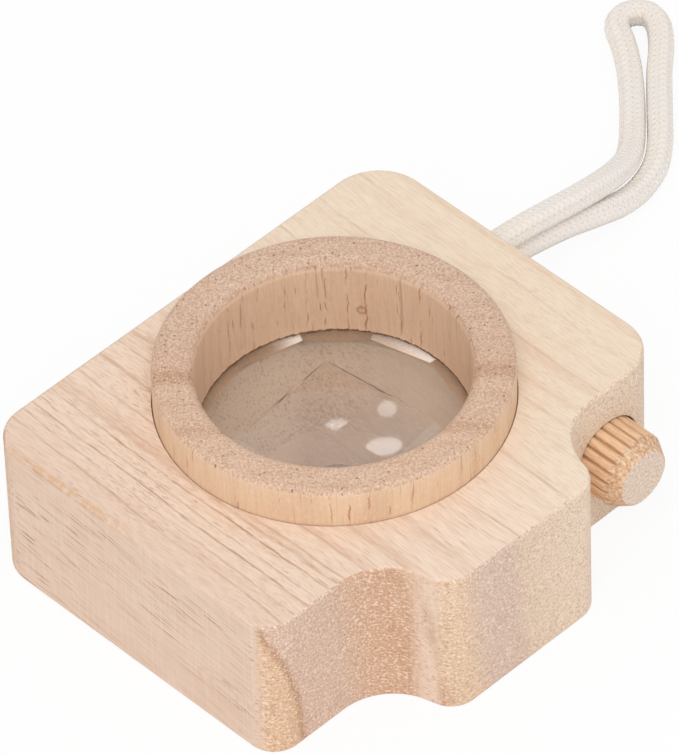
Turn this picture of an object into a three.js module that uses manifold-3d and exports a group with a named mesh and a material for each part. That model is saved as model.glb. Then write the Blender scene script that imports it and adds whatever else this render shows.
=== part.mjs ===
// Wooden kaleidoscope toy camera, lying on its back.
// Millimetres. +Z runs along the lens axis, out of the front. +Y is the camera's top, +X its grip side.
// The origin is under the middle of the camera, on the surface that it lies on.

import * as THREE from 'three';
import { ConvexGeometry } from 'three/addons/geometries/ConvexGeometry.js';
import { mergeVertices } from 'three/addons/utils/BufferGeometryUtils.js';
import Module from 'manifold-3d';

const wasm = await Module();
wasm.setup();

// Block
const BODY_WIDTH = 79;
const BODY_HEIGHT = 69.4;
const BODY_DEPTH = 26;
const EDGE_ROUND = 0.8;
const BASE_CORNER_GRIP = 6.3;
const BASE_CORNER_STRAP = 8;
const SHOULDER_CORNER_GRIP = 4.5;
const SHOULDER_CORNER_STRAP = 7.2;

// Hump on the block's top
const HUMP_RISE_GRIP = 11.9;
const HUMP_RISE_STRAP = 11.5;
const HUMP_CREST_WIDTH = 29;
const HUMP_SHIFT = 0.55;
const HUMP_WALL_LEAN = THREE.MathUtils.degToRad(15);
const HUMP_CREST_ROUND = 4.5;
const HUMP_FOOT_ROUND = 9.5;

// Lens ring and its seat
const LENS_SHIFT = -0.25;
const LENS_HEIGHT = 30.5;
const RING_DIAMETER = 52;
const RING_BORE = 39.7;
const RING_PROUD = 6.5;
const RING_SUNK = 11;
const RING_EDGE_ROUND = 0.8;
const RING_BORE_DEPTH = 13.6;
const LENS_REBATE = 44;
const RING_CLEARANCE = 0.3;
const WELL_BORE = 40;
const WELL_FLOOR_BORE = 24;
const WELL_FLOOR = 5.5;
const EYEPIECE_BORE = 8;
const EYEPIECE_FLARE = 1;

// Kaleidoscope lens
const LENS_FIT = 0.3;
const LENS_SIDES = 12;
const LENS_GIRDLE = 2.8;
const LENS_BEVEL_RISE = 0.25;
const LENS_BEVEL_WIDTH = 2.6;
const LENS_CROWN_RISE = 0.3;
const LENS_SQUARE = 20;
const LENS_DISH = 0.5;
const LENS_DISH_FLARE = 1;
const LENS_SPIN = THREE.MathUtils.degToRad(6);

// Pins that hold the ring, and the ring's groove
const RING_PIN_DIAMETER = 2.4;
const RING_PIN_SPREAD = 20;
const RING_PIN_DEPTH = 3.9;
const GROOVE_DEPTH = 1.8;

// Shutter button, its spring and its pin
const SHUTTER_INSET = 12;
const SHUTTER_DIAMETER = 12;
const SHUTTER_PROUD = 7.4;
const SHUTTER_SUNK = 7.2;
const SHUTTER_TRAVEL = 2.5;
const SHUTTER_OVERTRAVEL = 0.4;
const SHUTTER_CLEARANCE = 0.3;
const SHUTTER_TIP_LENGTH = 2.6;
const SHUTTER_TIP_TAPER = 1.6;
const FLUTE_COUNT = 22;
const FLUTE_DEPTH = 0.45;
const FLUTE_SHARE = 0.45;
const KEYWAY_DEPTH = 3.4;
const KEYWAY_WALL = 1.3;
const SHUTTER_PIN_DIAMETER = 2.5;
const SPRING_DIAMETER = 6;
const SPRING_WIRE = 0.6;
const SPRING_TURNS = 5;
const SPRING_POCKET = 3.9;
const SPRING_CLEARANCE = 0.5;

// Strap cord
const CORD_DIAMETER = 4;
const CORD_SIDES = 10;
const CORD_STEPS = 80;
const STRAP_BORE = 9;
const STRAP_BORE_DEPTH = 12;
const STRAP_HEIGHT = 17.5;

// Gaps and the fineness of round pieces
const PIN_FIT = 0.15;
const PIN_RECESS = 0.3;
const END_GAP = 0.3;
const PAST = 1;
const RING_FACETS = 96;
const BORE_FACETS = 48;
const PIN_FACETS = 20;
const ARC_STEPS = 4;
const ROUND_STEPS = 3;
const SPRING_STEPS_PER_TURN = 12;
const SPRING_SIDES = 6;
const WELD = 1e-4;

// Places that several pieces share
const baseY = -BODY_HEIGHT / 2;
const humpY = BODY_HEIGHT / 2;
const gripShoulderY = humpY - HUMP_RISE_GRIP;
const strapShoulderY = humpY - HUMP_RISE_STRAP;
const middleZ = BODY_DEPTH / 2;
const lensY = baseY + LENS_HEIGHT;
const ringRadius = RING_DIAMETER / 2;
const ringTopZ = BODY_DEPTH + RING_PROUD;
const ringFootZ = BODY_DEPTH - RING_SUNK;
const rebateZ = ringTopZ - RING_BORE_DEPTH;
const seatRadius = ringRadius + RING_CLEARANCE;
const seatZ = ringFootZ - END_GAP;
const ringPinZ = BODY_DEPTH - RING_PIN_DEPTH;
const grooveRadius = ringRadius - GROOVE_DEPTH;
const grooveHalf = RING_PIN_DIAMETER / 2 + RING_CLEARANCE;
const shutterX = -BODY_WIDTH / 2 + SHUTTER_INSET;
const shutterFootY = strapShoulderY - SHUTTER_SUNK;
const shutterBoreY = shutterFootY - SHUTTER_TRAVEL - SHUTTER_OVERTRAVEL;
const springFootY = shutterBoreY - SPRING_POCKET;
const keywayHalf = SHUTTER_PIN_DIAMETER / 2 + SHUTTER_CLEARANCE;
const shutterPinY = shutterFootY + KEYWAY_WALL + keywayHalf;
const keywayZ = middleZ - SHUTTER_DIAMETER / 2 + KEYWAY_DEPTH;
const strapY = baseY + STRAP_HEIGHT;

// The cord's middle line: out of the strap hole, down to the surface, round the loop's tip and back
const CORD_ROUTE = [
  [-29.5, -17.1, 14.95], [-34.5, -17.1, 14.95], [-39.5, -17.0, 14.95], [-45.0, -17.0, 14.9],
  [-51.7, -17.1, 14.1], [-57.0, -17.2, 13.1], [-63.0, -17.4, 11.8], [-70.0, -18.8, 9.2],
  [-75.0, -20.6, 6.8], [-79.6, -22.8, 4.8], [-83.6, -25.8, 3.2], [-87.2, -29.1, 2.4],
  [-91.6, -33.4, 2.2], [-96.2, -38.5, 2.2], [-99.4, -42.9, 2.2], [-101.0, -45.5, 2.2],
  [-103.0, -46.8, 2.2], [-105.3, -46.2, 2.2], [-106.6, -44.2, 2.2], [-106.0, -41.9, 2.2],
  [-103.3, -38.6, 2.2], [-98.4, -34.3, 2.2], [-91.7, -27.8, 2.2], [-87.1, -23.4, 2.2],
  [-82.9, -20.4, 2.2], [-78.2, -18.7, 2.4], [-73.2, -17.4, 3.9], [-67.4, -16.9, 6.1],
  [-60.8, -17.2, 8.0], [-54.0, -17.3, 9.5], [-46.8, -17.4, 10.6], [-39.5, -17.4, 10.9],
  [-34.5, -17.3, 10.9], [-29.5, -17.3, 10.9],
];

const bodyWood = new THREE.MeshStandardMaterial({ color: 0xe8cdb2, roughness: 0.7, metalness: 0 });
const ringWood = new THREE.MeshStandardMaterial({ color: 0xd8b08c, roughness: 0.7, metalness: 0 });
const dowelWood = new THREE.MeshStandardMaterial({ color: 0xdab48f, roughness: 0.75, metalness: 0 });
const pinWood = new THREE.MeshStandardMaterial({ color: 0xd9b78f, roughness: 0.75, metalness: 0 });
const acrylic = new THREE.MeshStandardMaterial({ color: 0xf2f0ec, roughness: 0.05, metalness: 0 });
const springSteel = new THREE.MeshStandardMaterial({ color: 0xa9abad, roughness: 0.35, metalness: 1 });
const cotton = new THREE.MeshStandardMaterial({ color: 0xece2d6, roughness: 0.95, metalness: 0 });
acrylic.transparent = true;
acrylic.opacity = 0.35;

// Six times the signed volume of an indexed surface
function signedVolume(position, index) {
  const a = new THREE.Vector3();
  const b = new THREE.Vector3();
  const c = new THREE.Vector3();
  let sum = 0;
  for (let i = 0; i < index.length; i += 3) {
    a.fromBufferAttribute(position, index[i]);
    b.fromBufferAttribute(position, index[i + 1]);
    c.fromBufferAttribute(position, index[i + 2]);
    sum += a.dot(b.cross(c));
  }
  return sum;
}

// A closed surface as a solid: shared corners merged, empty triangles dropped, faces pointing out
function solid(geometry) {
  const bare = geometry.clone();
  bare.deleteAttribute('normal');
  bare.deleteAttribute('uv');
  const merged = mergeVertices(bare, WELD);
  const source = merged.index.array;
  const corners = [];
  for (let i = 0; i < source.length; i += 3) {
    const [a, b, c] = source.subarray(i, i + 3);
    if (a !== b && b !== c && c !== a) corners.push(a, b, c);
  }
  if (signedVolume(merged.attributes.position, corners) < 0) corners.reverse();
  const mesh = new wasm.Mesh({
    numProp: 3,
    vertProperties: new Float32Array(merged.attributes.position.array),
    triVerts: new Uint32Array(corners),
  });
  mesh.merge();
  return new wasm.Manifold(mesh);
}

function piece(name, body, material) {
  const surface = body.getMesh();
  const geometry = new THREE.BufferGeometry();
  geometry.setAttribute('position', new THREE.BufferAttribute(surface.vertProperties, 3));
  geometry.setIndex(new THREE.BufferAttribute(surface.triVerts, 1));
  geometry.computeVertexNormals();
  const mesh = new THREE.Mesh(geometry, material);
  mesh.name = name;
  return mesh;
}

// A polygon whose corners are rounded by arcs. Each corner is [x, y, radius], counter-clockwise.
function roundedOutline(corners) {
  const shape = new THREE.Shape();
  corners.forEach(([x, y, radius], i) => {
    const before = corners.at(i - 1);
    const after = corners[(i + 1) % corners.length];
    const into = new THREE.Vector2(x - before[0], y - before[1]).normalize();
    const out = new THREE.Vector2(after[0] - x, after[1] - y).normalize();
    const turn = Math.atan2(into.cross(out), into.dot(out));
    const side = Math.sign(turn);
    const reach = radius * Math.tan(Math.abs(turn) / 2);
    const centreX = x - into.x * reach - into.y * side * radius;
    const centreY = y - into.y * reach + into.x * side * radius;
    const start = Math.atan2(-into.x * side, into.y * side);
    shape.absarc(centreX, centreY, radius, start, start + turn, turn < 0);
  });
  return shape;
}

// A round solid along +Y, from its foot to its head
function rodAlongY(radius, footY, headY, facets) {
  const rod = new THREE.CylinderGeometry(radius, radius, headY - footY, facets);
  return rod.translate(0, (footY + headY) / 2, 0);
}

// A turned solid about +Z, from [radius, height] points
function turnedAboutZ(profile, facets) {
  const points = profile.map(([radius, height]) => new THREE.Vector2(radius, height));
  return new THREE.LatheGeometry(points, facets).rotateX(Math.PI / 2);
}

// The points of a quarter round, from one edge direction to the other
function quarterRound(centreR, centreH, radius, startAngle) {
  const points = [];
  for (let i = 0; i <= ROUND_STEPS; i += 1) {
    const angle = startAngle + (i / ROUND_STEPS) * (Math.PI / 2);
    points.push([centreR + radius * Math.cos(angle), centreH + radius * Math.sin(angle)]);
  }
  return points;
}

function blockOutline() {
  const half = BODY_WIDTH / 2;
  const crest = HUMP_CREST_WIDTH / 2;
  const gripFoot = crest + HUMP_RISE_GRIP * Math.tan(HUMP_WALL_LEAN);
  const strapFoot = crest + HUMP_RISE_STRAP * Math.tan(HUMP_WALL_LEAN);
  return roundedOutline([
    [-half, baseY, BASE_CORNER_STRAP],
    [half, baseY, BASE_CORNER_GRIP],
    [half, gripShoulderY, SHOULDER_CORNER_GRIP],
    [HUMP_SHIFT + gripFoot, gripShoulderY, HUMP_FOOT_ROUND],
    [HUMP_SHIFT + crest, humpY, HUMP_CREST_ROUND],
    [HUMP_SHIFT - crest, humpY, HUMP_CREST_ROUND],
    [HUMP_SHIFT - strapFoot, strapShoulderY, HUMP_FOOT_ROUND],
    [-half, strapShoulderY, SHOULDER_CORNER_STRAP],
  ]);
}

// The ring's seat and ledge, the tapered well behind the lens and the eyepiece hole, as one turned cutter
function lensSeatCutter() {
  const eyepiece = EYEPIECE_BORE / 2;
  const cutter = turnedAboutZ([
    [0, -PAST],
    [eyepiece + EYEPIECE_FLARE + PAST, -PAST],
    [eyepiece, EYEPIECE_FLARE],
    [eyepiece, WELL_FLOOR],
    [WELL_FLOOR_BORE / 2, WELL_FLOOR],
    [WELL_BORE / 2, seatZ],
    [seatRadius, seatZ],
    [seatRadius, BODY_DEPTH + PAST],
    [0, BODY_DEPTH + PAST],
  ], RING_FACETS);
  return solid(cutter.translate(LENS_SHIFT, lensY, 0));
}

function ringPinX(side) {
  return LENS_SHIFT + side * RING_PIN_SPREAD / 2;
}

function ringPinCutter(side) {
  const radius = RING_PIN_DIAMETER / 2 + PIN_FIT;
  const hole = rodAlongY(radius, baseY - PAST, lensY - grooveRadius / 2, PIN_FACETS);
  return solid(hole.translate(ringPinX(side), 0, ringPinZ));
}

function shutterCutter() {
  const bore = rodAlongY(SHUTTER_DIAMETER / 2 + SHUTTER_CLEARANCE, shutterBoreY, humpY, BORE_FACETS);
  const pocketRadius = SPRING_DIAMETER / 2 + SPRING_CLEARANCE;
  const pocket = rodAlongY(pocketRadius, springFootY, shutterBoreY + PAST, PIN_FACETS);
  const pinHole = new THREE.CylinderGeometry(
    SHUTTER_PIN_DIAMETER / 2 + PIN_FIT,
    SHUTTER_PIN_DIAMETER / 2 + PIN_FIT,
    middleZ + PAST,
    PIN_FACETS,
  );
  pinHole.rotateX(Math.PI / 2).translate(0, shutterPinY, -(middleZ + PAST) / 2);
  const hollow = solid(bore).add(solid(pocket)).add(solid(pinHole));
  return hollow.translate([shutterX, 0, middleZ]);
}

function strapCutter() {
  const hole = rodAlongY(STRAP_BORE / 2, -STRAP_BORE_DEPTH, PAST, BORE_FACETS);
  return solid(hole.rotateZ(Math.PI / 2).translate(-BODY_WIDTH / 2, strapY, middleZ));
}

function cameraBody() {
  const block = new THREE.ExtrudeGeometry(blockOutline(), {
    depth: BODY_DEPTH - 2 * EDGE_ROUND,
    bevelEnabled: true,
    bevelThickness: EDGE_ROUND,
    bevelSize: EDGE_ROUND,
    bevelOffset: -EDGE_ROUND,
    bevelSegments: ROUND_STEPS,
    curveSegments: ARC_STEPS,
  }).translate(0, 0, EDGE_ROUND);
  const cuts = [lensSeatCutter(), ringPinCutter(1), ringPinCutter(-1), shutterCutter(), strapCutter()];
  const body = cuts.reduce((left, cut) => left.subtract(cut), solid(block));
  return piece('camera_body', body, bodyWood);
}

function lensRing() {
  const bore = RING_BORE / 2;
  const rebate = LENS_REBATE / 2;
  const round = RING_EDGE_ROUND;
  const profile = [
    [rebate, ringFootZ],
    [ringRadius, ringFootZ],
    [ringRadius, ringPinZ - grooveHalf],
    [grooveRadius, ringPinZ - grooveHalf],
    [grooveRadius, ringPinZ + grooveHalf],
    [ringRadius, ringPinZ + grooveHalf],
    ...quarterRound(ringRadius - round, ringTopZ - round, round, 0),
    ...quarterRound(bore + round, ringTopZ - round, round, Math.PI / 2),
    [bore, rebateZ],
    [rebate, rebateZ],
    [rebate, ringFootZ],
  ];
  return piece('lens_ring', solid(turnedAboutZ(profile, RING_FACETS)), ringWood);
}

function polygonPoints(count, radius, z, startAngle) {
  return Array.from({ length: count }, (_, i) => {
    const angle = startAngle + (i / count) * 2 * Math.PI;
    return new THREE.Vector3(radius * Math.cos(angle), radius * Math.sin(angle), z);
  });
}

// A flat back, a twelve-sided girdle and bevel, and in the front a square dish of four facets
function kaleidoscopeLens() {
  const girdle = LENS_REBATE / 2 - LENS_FIT;
  const backZ = ringFootZ + LENS_FIT;
  const girdleZ = backZ + LENS_GIRDLE;
  const bevelZ = girdleZ + LENS_BEVEL_RISE;
  const rimZ = bevelZ + LENS_CROWN_RISE;
  const corner = LENS_SQUARE / Math.SQRT2;
  const cornerTurn = LENS_SPIN + Math.PI / 4;
  const blank = [
    ...polygonPoints(LENS_SIDES, girdle, backZ, 0),
    ...polygonPoints(LENS_SIDES, girdle, girdleZ, 0),
    ...polygonPoints(LENS_SIDES, girdle - LENS_BEVEL_WIDTH, bevelZ, 0),
    ...polygonPoints(4, corner, rimZ, cornerTurn),
  ];
  const dish = [
    new THREE.Vector3(0, 0, rimZ - LENS_DISH),
    ...polygonPoints(4, LENS_SQUARE / 2, rimZ - LENS_DISH / 2, LENS_SPIN),
    ...polygonPoints(4, corner, rimZ, cornerTurn),
    ...polygonPoints(4, corner + LENS_DISH_FLARE * Math.SQRT2, rimZ + PAST, cornerTurn),
  ];
  const lens = solid(new ConvexGeometry(blank)).subtract(solid(new ConvexGeometry(dish)));
  return piece('kaleidoscope_lens', lens, acrylic);
}

// A pin from the camera's underside to just short of the groove's floor
function ringPin(name, side) {
  const radius = RING_PIN_DIAMETER / 2;
  const nearest = RING_PIN_SPREAD / 2 - radius;
  const grooveFloorY = lensY - Math.sqrt(grooveRadius ** 2 - nearest ** 2);
  const pin = rodAlongY(radius, baseY + PIN_RECESS, grooveFloorY - END_GAP, PIN_FACETS);
  const mesh = piece(name, solid(pin), pinWood);
  mesh.position.set(ringPinX(side), 0, ringPinZ);
  return mesh;
}

// The dowel's section: round lands with shallow flutes between them
function flutedSection() {
  const outer = SHUTTER_DIAMETER / 2;
  const step = (2 * Math.PI) / FLUTE_COUNT;
  const flute = step * FLUTE_SHARE;
  const points = [];
  for (let i = 0; i < FLUTE_COUNT; i += 1) {
    const start = i * step;
    const stops = [
      [start, outer],
      [start + flute / 2, outer - FLUTE_DEPTH],
      [start + flute, outer],
      [start + (flute + step) / 2, outer],
    ];
    for (const [angle, radius] of stops) {
      points.push(new THREE.Vector2(radius * Math.cos(angle), radius * Math.sin(angle)));
    }
  }
  return new THREE.Shape(points);
}

// The button stands on its inner end, with its keyway on the side towards the camera's back
function shutterButton() {
  const length = SHUTTER_SUNK + SHUTTER_PROUD;
  const radius = SHUTTER_DIAMETER / 2;
  const prism = new THREE.ExtrudeGeometry(flutedSection(), { depth: length, bevelEnabled: false });
  prism.rotateX(-Math.PI / 2);
  const tip = new THREE.LatheGeometry([
    new THREE.Vector2(0, 0),
    new THREE.Vector2(radius, 0),
    new THREE.Vector2(radius, length - SHUTTER_TIP_LENGTH),
    new THREE.Vector2(radius - SHUTTER_TIP_TAPER, length),
    new THREE.Vector2(0, length),
  ], FLUTE_COUNT * 4);
  const first = KEYWAY_WALL + keywayHalf;
  const last = first + SHUTTER_TRAVEL;
  const slot = new THREE.Shape();
  slot.absarc(0, last, keywayHalf, 0, Math.PI, false);
  slot.absarc(0, first, keywayHalf, Math.PI, 2 * Math.PI, false);
  const keyway = new THREE.ExtrudeGeometry(slot, {
    depth: KEYWAY_DEPTH + PAST,
    bevelEnabled: false,
    curveSegments: ARC_STEPS,
  }).translate(0, 0, -radius - PAST);
  const button = solid(prism).intersect(solid(tip)).subtract(solid(keyway));
  const mesh = piece('shutter_button', button, dowelWood);
  mesh.position.set(shutterX, shutterFootY, middleZ);
  return mesh;
}

function shutterPin() {
  const length = keywayZ - END_GAP - PIN_RECESS;
  const pin = new THREE.CylinderGeometry(
    SHUTTER_PIN_DIAMETER / 2,
    SHUTTER_PIN_DIAMETER / 2,
    length,
    PIN_FACETS,
  );
  const mesh = piece('shutter_pin', solid(pin.rotateX(Math.PI / 2)), pinWood);
  mesh.position.set(shutterX, shutterPinY, PIN_RECESS + length / 2);
  return mesh;
}

function roundSection(radius, sides) {
  const points = polygonPoints(sides, radius, 0, 0);
  return new THREE.Shape(points.map((point) => new THREE.Vector2(point.x, point.y)));
}

class SpringLine extends THREE.Curve {
  constructor(radius, length, turns) {
    super();
    this.radius = radius;
    this.length = length;
    this.turns = turns;
  }

  getPoint(t, target = new THREE.Vector3()) {
    const angle = t * this.turns * 2 * Math.PI;
    return target.set(this.radius * Math.cos(angle), t * this.length, this.radius * Math.sin(angle));
  }
}

// The spring stands in its pocket and reaches the button's inner end
function shutterSpring() {
  const foot = springFootY + END_GAP + SPRING_WIRE / 2;
  const head = shutterFootY - END_GAP - SPRING_WIRE / 2;
  const line = new SpringLine((SPRING_DIAMETER - SPRING_WIRE) / 2, head - foot, SPRING_TURNS);
  const wire = new THREE.ExtrudeGeometry(roundSection(SPRING_WIRE / 2, SPRING_SIDES), {
    steps: SPRING_TURNS * SPRING_STEPS_PER_TURN,
    extrudePath: line,
    bevelEnabled: false,
  });
  const mesh = piece('shutter_spring', solid(wire), springSteel);
  mesh.position.set(shutterX, foot, middleZ);
  return mesh;
}

function strapCord() {
  const route = CORD_ROUTE.map(([x, y, z]) => new THREE.Vector3(x, y, z));
  const tube = new THREE.ExtrudeGeometry(roundSection(CORD_DIAMETER / 2, CORD_SIDES), {
    steps: CORD_STEPS,
    extrudePath: new THREE.CatmullRomCurve3(route, false, 'centripetal'),
    bevelEnabled: false,
  });
  return piece('strap_cord', solid(tube), cotton);
}

const lensGroup = new THREE.Group();
lensGroup.position.set(LENS_SHIFT, lensY, 0);
lensGroup.add(lensRing(), kaleidoscopeLens());

const camera = new THREE.Group();
camera.add(
  cameraBody(),
  lensGroup,
  ringPin('ring_pin_grip', 1),
  ringPin('ring_pin_strap', -1),
  shutterButton(),
  shutterPin(),
  shutterSpring(),
  strapCord(),
);

export default camera;
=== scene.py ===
"""Dresses a packed wooden kaleidoscope toy camera for a product picture.

Metres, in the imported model's frame: +Z along the lens axis, out of the front, +Y the camera's top,
+X its grip side.
"""

import math
from typing import NamedTuple

import bmesh
import bpy
from mathutils import Matrix, Vector, noise


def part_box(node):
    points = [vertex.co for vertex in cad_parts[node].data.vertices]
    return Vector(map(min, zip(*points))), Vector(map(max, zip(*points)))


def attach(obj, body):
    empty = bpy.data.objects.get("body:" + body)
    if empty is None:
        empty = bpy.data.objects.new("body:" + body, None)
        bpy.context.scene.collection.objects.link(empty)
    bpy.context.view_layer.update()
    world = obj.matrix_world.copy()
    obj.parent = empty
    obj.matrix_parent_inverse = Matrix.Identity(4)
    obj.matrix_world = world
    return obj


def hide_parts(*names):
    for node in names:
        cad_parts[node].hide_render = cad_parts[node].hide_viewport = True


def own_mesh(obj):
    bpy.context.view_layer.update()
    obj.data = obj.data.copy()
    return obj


MM = 0.001


class Tint(NamedTuple):
    """A colour in sRGB bytes, and the share of it that is painted on."""

    colour: tuple
    strength: float


class Pattern(NamedTuple):
    """A noise with its cycles per millimetre, and what it paints from one level to another."""

    cycles: tuple
    levels: tuple = (0.0, 1.0)
    colour: tuple = (0, 0, 0)
    strength: float = 1.0
    detail: float = 2.0
    roughness: float = 0.5


# Block outline, as in the solid
BASE_CORNER_GRIP = 6.3 * MM
BASE_CORNER_STRAP = 8.0 * MM
SHOULDER_CORNER_GRIP = 4.5 * MM
SHOULDER_CORNER_STRAP = 7.2 * MM
HUMP_RISE_GRIP = 11.9 * MM
HUMP_RISE_STRAP = 11.5 * MM
HUMP_CREST_WIDTH = 29.0 * MM
HUMP_SHIFT = 0.55 * MM
HUMP_WALL_LEAN = math.radians(15)
HUMP_CREST_ROUND = 4.5 * MM
HUMP_FOOT_ROUND = 9.5 * MM
FRONT_ROUND = 0.6 * MM
BACK_ROUND = 0.6 * MM
ARC_STEP = math.radians(5)
ROUND_STEPS = 5

# How far cutters reach past what they cut, and the edge angles in degrees that stay smooth
PAST = 1.0 * MM
PIN_HOLE_PAST = 4.0 * MM
WOOD_SMOOTH = 40
PIN_SMOOTH = 30
FINE_SMOOTH = 50

# Lens ring, its seat and the eyepiece hole
RING_BORE = 39.7 * MM
RING_OUTER_ROUND = 1.0 * MM
RING_INNER_ROUND = 1.8 * MM
RING_FOOT_ROUND = 0.3 * MM
RING_FOOT_STEPS = 2
RING_FACETS = 240
RING_BORE_DEPTH = 13.6 * MM
RING_CLEARANCE = 0.12 * MM
LENS_REBATE = 44.0 * MM
TORN_EDGE = 0.22 * MM
TORN_REACH = 1.5 * MM
TORN_SIZES = (1.1 * MM, 0.35 * MM)
GROOVE_DEPTH = 1.8 * MM
GROOVE_HALF = 1.5 * MM
SEAT_GAP = 0.3 * MM
SEAT_EDGE = 0.06 * MM
WELL_BORE = 40.0 * MM
WELL_FLOOR_BORE = 24.0 * MM
WELL_FLOOR = 5.5 * MM
EYEPIECE_BORE = 8.0 * MM
EYEPIECE_FLARE = 1.0 * MM

# Kaleidoscope lens
LENS_SIDES = 12
LENS_GIRDLE = 2.8 * MM
LENS_BEVEL_RISE = 0.25 * MM
LENS_BEVEL_WIDTH = 2.6 * MM
LENS_CROWN_RISE = 0.3 * MM
LENS_SQUARE = 20.0 * MM
LENS_DISH = 0.5 * MM
LENS_DISH_FLARE = 1.0 * MM
LENS_SPIN = math.radians(6)
LENS_FLAT = math.radians(0.3)
LENS_EDGE = 0.07 * MM
LENS_EDGE_STEPS = 2
LENS_EDGE_LEAST = math.radians(2)
BEVEL_LEAST_SLOPE = math.radians(4.6)

# Pins
PIN_FIT = 0.15 * MM
PIN_CHAMFER = 0.2 * MM
PIN_SIDES = 32

# Shutter button and its spring
SHUTTER_CLEARANCE = 0.3 * MM
SHUTTER_BORE_SIDES = 96
SHUTTER_DEEP = 2.9 * MM
SHUTTER_TIP_LENGTH = 2.6 * MM
SHUTTER_TIP_TAPER = 1.6 * MM
SHUTTER_TIP_ROUND = 0.25 * MM
SHUTTER_TIP_STEPS = 12
SHUTTER_FOOT_CHAMFER = 0.5 * MM
FLUTE_COUNT = 22
FLUTE_DEPTH = 0.48 * MM
FLUTE_SHARPNESS = 4.5
FLUTE_POINTS = 16
KEYWAY_DEPTH = 3.4 * MM
KEYWAY_HALF = 1.55 * MM
KEYWAY_STEPS = 12
SHUTTER_TRAVEL = 2.5 * MM
SPRING_WIRE = 0.6 * MM
SPRING_WIRE_SIDES = 12
SPRING_TURNS = 5
SPRING_TURN_STEPS = 40
SPRING_POCKET = 3.5 * MM
SPRING_POCKET_DEPTH = 3.9 * MM
SPRING_POCKET_SIDES = 48

# Strap cord
CORD_ROUTE_MM = (
    (-29.5, -17.1, 14.95), (-34.5, -17.1, 14.95), (-39.5, -17.0, 14.95), (-45.0, -17.0, 14.9),
    (-51.7, -17.1, 14.1), (-57.0, -17.2, 13.1), (-63.0, -17.4, 11.8), (-70.0, -18.8, 9.2),
    (-75.0, -20.6, 6.8), (-79.6, -22.8, 4.8), (-83.6, -25.8, 3.2), (-87.2, -29.1, 2.4),
    (-91.6, -33.4, 2.2), (-96.2, -38.5, 2.2), (-99.4, -42.9, 2.2), (-101.0, -45.5, 2.2),
    (-103.0, -46.8, 2.2), (-105.3, -46.2, 2.2), (-106.6, -44.2, 2.2), (-106.0, -41.9, 2.2),
    (-103.3, -38.6, 2.2), (-98.4, -34.3, 2.2), (-91.7, -27.8, 2.2), (-87.1, -23.4, 2.2),
    (-82.9, -20.4, 2.2), (-78.2, -18.7, 2.4), (-73.2, -17.4, 3.9), (-67.4, -16.9, 6.1),
    (-60.8, -17.2, 8.0), (-54.0, -17.3, 9.5), (-46.8, -17.4, 10.6), (-39.5, -17.4, 10.9),
    (-34.5, -17.3, 10.9), (-29.5, -17.3, 10.9),
)
ROUTE_STEPS = 24
CORD_STEP = 0.30 * MM
BRAID_YARNS = 10
BRAID_PITCH = 11.5 * MM
BRAID_RADIUS = 1.68 * MM
BRAID_CORE = 1.5 * MM
BRAID_CORE_SIDES = 16
YARN_WIDTH = 0.92 * MM
YARN_SLANT = math.radians(45)
YARN_THICKNESS = 0.56 * MM
YARN_SIDES = 6
YARN_WEAVE = 0.10 * MM
STRAP_BORE = 9.0 * MM
STRAP_BORE_DEPTH = 12.0 * MM
STRAP_BORE_EDGE = 0.4 * MM
STRAP_BORE_SIDES = 64
STRAP_HEIGHT = 17.5 * MM

# All wood: the bend of the grain, and the gloss and relief (depth, strength) of the surface
DRIFT = Pattern((0.03, 0.03, 0.022), detail=1.0)
DRIFT_MIDDLE = (0.5, 0.5, 0.5)
DRIFT_REACH = (4.0, 4.0, 0.0)
WOOD_GLOSS = 0.25
WOOD_RELIEF = (0.10 * MM, 0.5)
FIBRE_RELIEF = 0.4
SPECK_RELIEF = 0.5

# Body wood, with places in millimetres and colours across the grain from the strap side to the grip side
BODY_ROUGHNESS = 0.62
BODY_END_SLOPE = (0.2, 0.55)
BODY_GRAIN_SLOPE = 6.0
BODY_HALF = 40.0
BODY_LEAN = 0.12
BODY_LEAN_FROM = 26.0
BODY_BOW = 3.0
BODY_BOW_FROM = 4.0
BODY_BOW_REACH = 20.0
BODY_BOW_ACROSS = (22.0, 37.0)
BODY_LONG_STOPS = (
    (0.0, (240, 221, 198)), (0.30, (240, 222, 200)), (0.50, (242, 221, 201)),
    (0.70, (240, 217, 197)), (0.88, (238, 214, 194)), (1.0, (231, 204, 184)),
)
BODY_END_STOPS = (
    (0.10, (235, 212, 189)), (0.33, (241, 219, 196)), (0.52, (232, 207, 183)), (0.55, (221, 194, 179)),
    (0.62, (223, 196, 181)), (0.67, (235, 203, 172)), (0.71, (231, 198, 167)), (0.73, (210, 165, 134)),
    (0.79, (216, 176, 147)), (0.86, (222, 192, 173)), (0.975, (223, 191, 171)), (0.991, (190, 142, 108)),
    (0.999, (228, 188, 153)),
)
LIVELY_ACROSS = (0.32, 0.62)
LIVELY_LEAST = 0.7
BODY_BANDS = Pattern((0.45, 0.10, 0.006), (0.50, 0.75), (217, 180, 152), 0.35, detail=3.0)
BODY_BANDS_END = 0.25
BODY_FADE = Pattern((0.10, 0.10, 0.05), (0.18, 0.58), detail=1.0)
BODY_RIPPLE = Pattern((0.5, 0.5, 0.16), detail=3.0, roughness=0.6)
BODY_RIPPLE_WIDTH = 0.9
BODY_DASHES = Pattern((1.6, 1.6, 0.22), (0.36, 0.58))
BODY_DASHES_LEAST = 0.4
BODY_FIBRE = Pattern((4.0, 4.0, 0.10), (0.38, 0.70), (204, 165, 136), 0.42, 3.0, 0.65)
BODY_PATCHES = Pattern((0.12, 0.12, 0.02), (0.40, 0.62), detail=1.0)
BODY_PORES = Pattern((4.2, 4.2, 0.13), (0.68, 0.73), (158, 114, 84), 0.75, detail=0.0)
BODY_PORES_ACROSS = (0.35, 0.75)
BODY_PORES_LEAST = 0.25
BODY_PORES_FRONT = 0.45
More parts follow.
